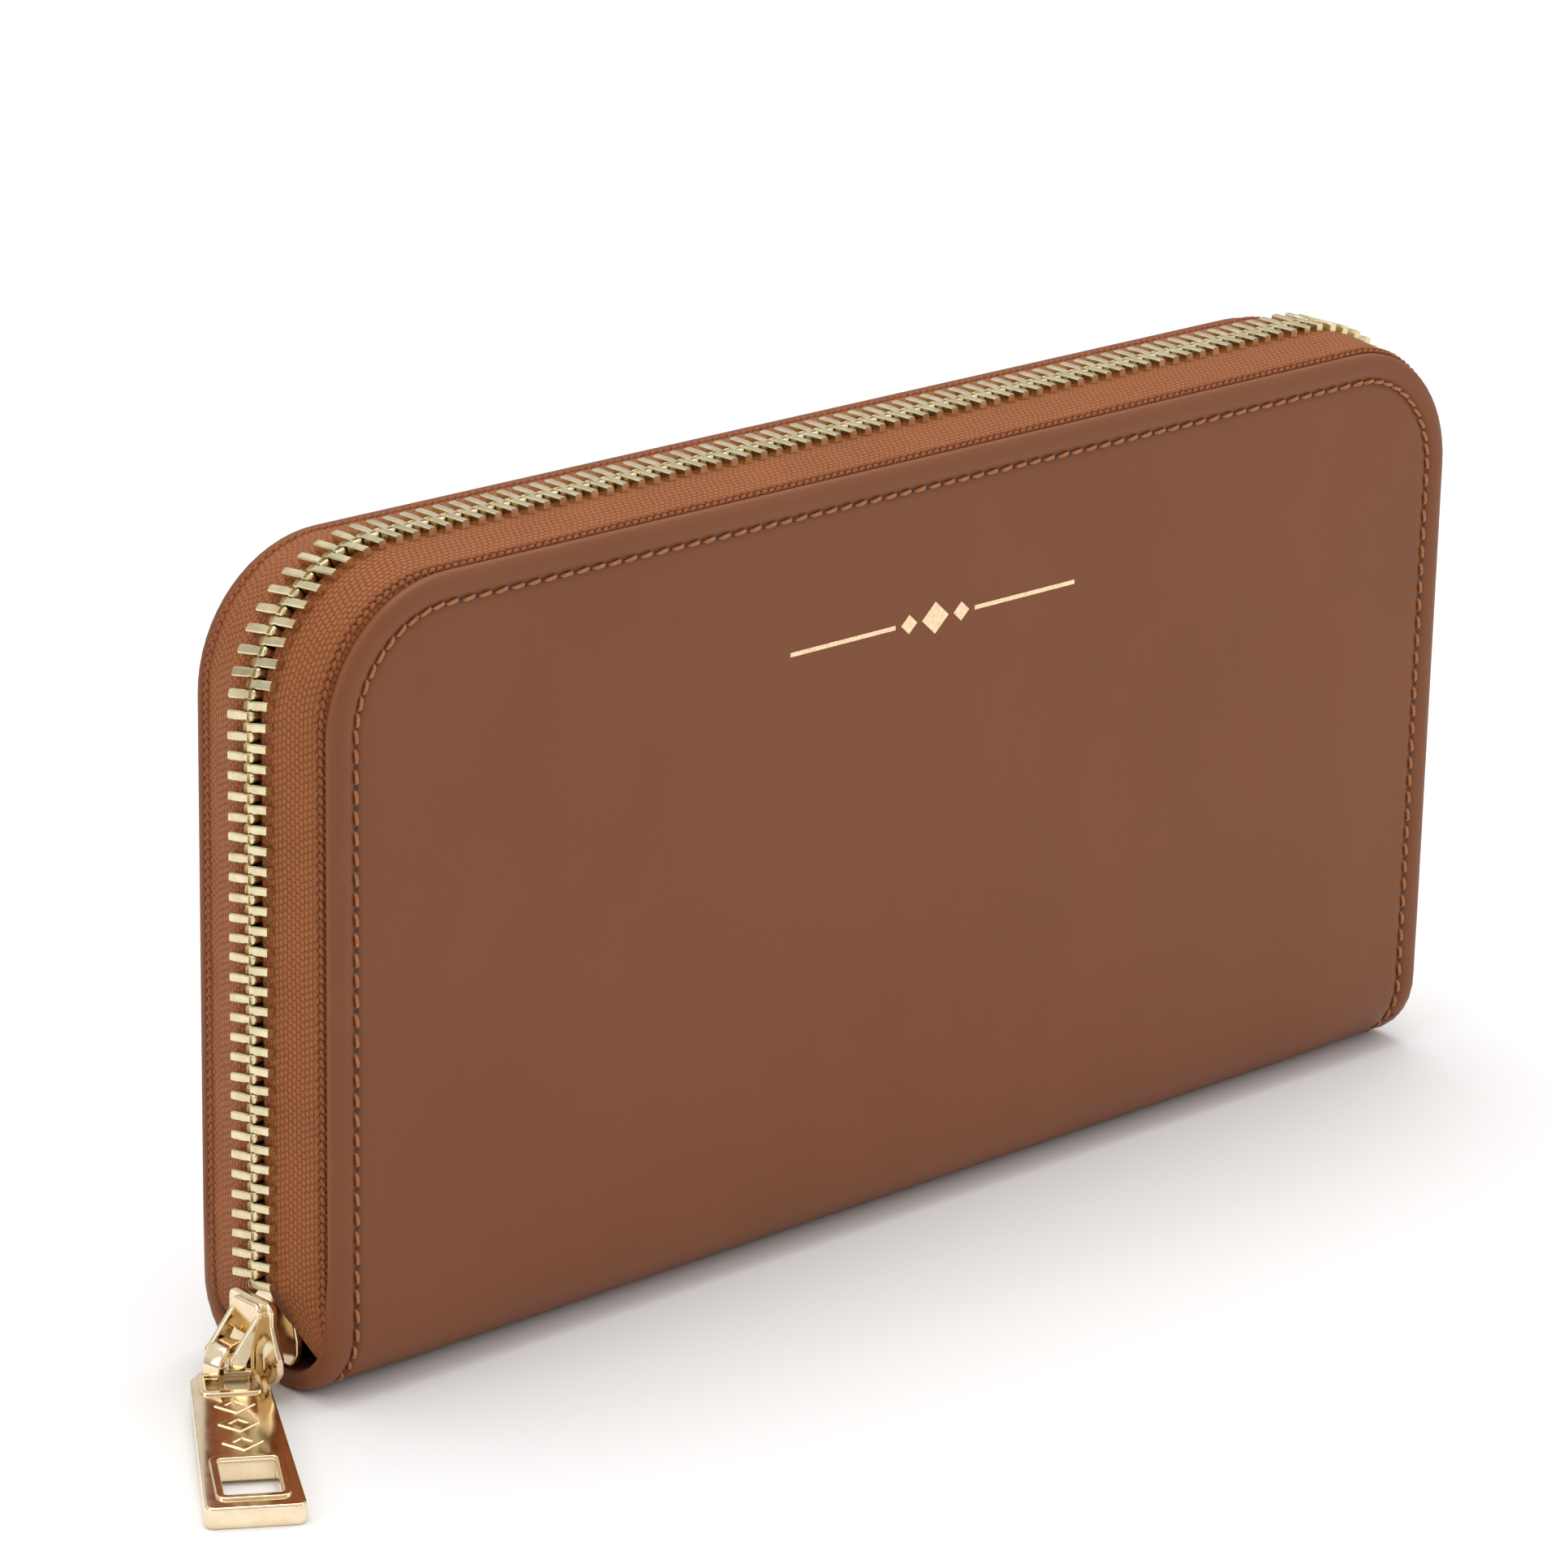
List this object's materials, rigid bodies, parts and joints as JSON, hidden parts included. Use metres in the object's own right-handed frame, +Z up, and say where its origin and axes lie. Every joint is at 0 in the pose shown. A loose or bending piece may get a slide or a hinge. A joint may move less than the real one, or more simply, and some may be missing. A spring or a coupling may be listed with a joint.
{
  "type": "zip around wallet",
  "caption": "Long zip around wallet: two stitched leather covers on a folded spine, metal zip round three sides, card slots, coin pocket and a tab pull.",
  "frame": {"origin": "centre of the flat base of the spine, on which the wallet stands", "axes": "+X along the length, away from the slider; +Y through the thickness, away from the stamped front; +Z up from the spine to the zip"},
  "size_m": [0.2281, 0.0472, 0.1054],
  "materials": {
    "cover_leather": "smooth fine-grained tan leather, semi-matt",
    "lining_leather": "darker smooth lining leather",
    "pocket_leather": "smooth tan leather, thinner",
    "board": "pressed fibre board",
    "tape": "herringbone woven tape in tan",
    "brass_teeth": "polished pale gold teeth",
    "gold_hardware": "polished pale gold plating",
    "foil": "satin gold foil"
  },
  "bodies": {
    "core": {"spine_cover": "cover_leather", "spine_lining": "lining_leather", "zip_end_stop": "brass_teeth", "coin_pocket": "pocket_leather", "coin_zip_tapes": "tape", "coin_zip_chain": "brass_teeth", "left_gussets": "pocket_leather", "right_gussets": "pocket_leather"},
    "front_half": {"front_cover": "cover_leather", "front_board": "board", "front_lining": "lining_leather", "front_card_slots": "pocket_leather", "front_zip_tape": "tape", "front_teeth": "brass_teeth", "front_foil_stamp": "foil"},
    "back_half": {"back_cover": "cover_leather", "back_board": "board", "back_lining": "lining_leather", "back_card_slots": "pocket_leather", "back_zip_tape": "tape", "back_teeth": "brass_teeth"},
    "slider": {"slider_body": "gold_hardware", "slider_bail": "gold_hardware"},
    "ring": {"pull_ring": "gold_hardware"},
    "tab": {"pull_tab": "gold_hardware"},
    "coin_slider": {"coin_slider": "gold_hardware"},
    "coin_pull": {"coin_pull": "gold_hardware"}
  },
  "joints": [
    {"name": "front_open", "type": "hinge", "parent": "core", "child": "front_half", "pos_m": [0, 0, 0], "axis": [1, 0, 0], "range_deg": [0, 30]},
    {"name": "back_open", "type": "hinge", "parent": "core", "child": "back_half", "pos_m": [0, 0, 0], "axis": [-1, 0, 0], "range_deg": [0, 30]},
    {"name": "slider_travel", "type": "slide", "parent": "core", "child": "slider", "axis": [0, 0, 1], "range_m": [0, 0.058]},
    {"name": "ring_swing", "type": "hinge", "parent": "slider", "child": "ring", "pos_m": [-0.1051, -0.0015, 0.0059], "axis": [0, 1, 0], "range_deg": [0, 35]},
    {"name": "tab_swing", "type": "hinge", "parent": "ring", "child": "tab", "pos_m": [-0.1051, -0.0018, 0.0027], "axis": [-0.8453, 0.5344, 0], "range_deg": [0, 45]},
    {"name": "coin_slider_travel", "type": "slide", "parent": "core", "child": "coin_slider", "axis": [1, 0, 0], "range_m": [0, 0.14]},
    {"name": "coin_pull_swing", "type": "hinge", "parent": "coin_slider", "child": "coin_pull", "pos_m": [-0.0744, 0, 0.0879], "axis": [0, -1, 0], "range_deg": [0, 45]}
  ]
}
